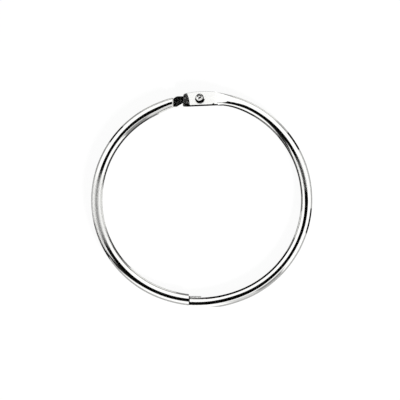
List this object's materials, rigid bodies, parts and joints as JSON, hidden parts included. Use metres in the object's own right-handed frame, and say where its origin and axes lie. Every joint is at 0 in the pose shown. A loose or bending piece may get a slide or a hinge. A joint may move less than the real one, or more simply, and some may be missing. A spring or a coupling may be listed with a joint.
{
  "type": "hinged binder ring",
  "caption": "Hinged ring of bright plated round wire, with a riveted fork-and-tongue hinge and a half-lap clasp, for holding punched sheets.",
  "frame": {"origin": "centre of the closed ring's box, on the surface that the ring lies on", "axes": "+Z along the ring's axis, upwards; +Y towards the hinge; +X towards the fork half, so that the tongue half opens towards -X"},
  "size_m": [0.0868, 0.0854, 0.0044],
  "materials": {
    "bright_nickel": "bright nickel plating on drawn steel wire, polished",
    "rivet_nickel": "nickel plated steel rivet, slightly duller than the wire"
  },
  "bodies": {
    "fork_side": {"fork_half": "bright_nickel", "hinge_rivet": "rivet_nickel"},
    "tongue_side": {"tongue_half": "bright_nickel"}
  },
  "joints": [
    {"name": "ring_hinge", "type": "hinge", "parent": "fork_side", "child": "tongue_side", "pos_m": [-0.0007, 0.04, 0.0022], "axis": [0, 0, -1], "range_deg": [0, 115]}
  ]
}
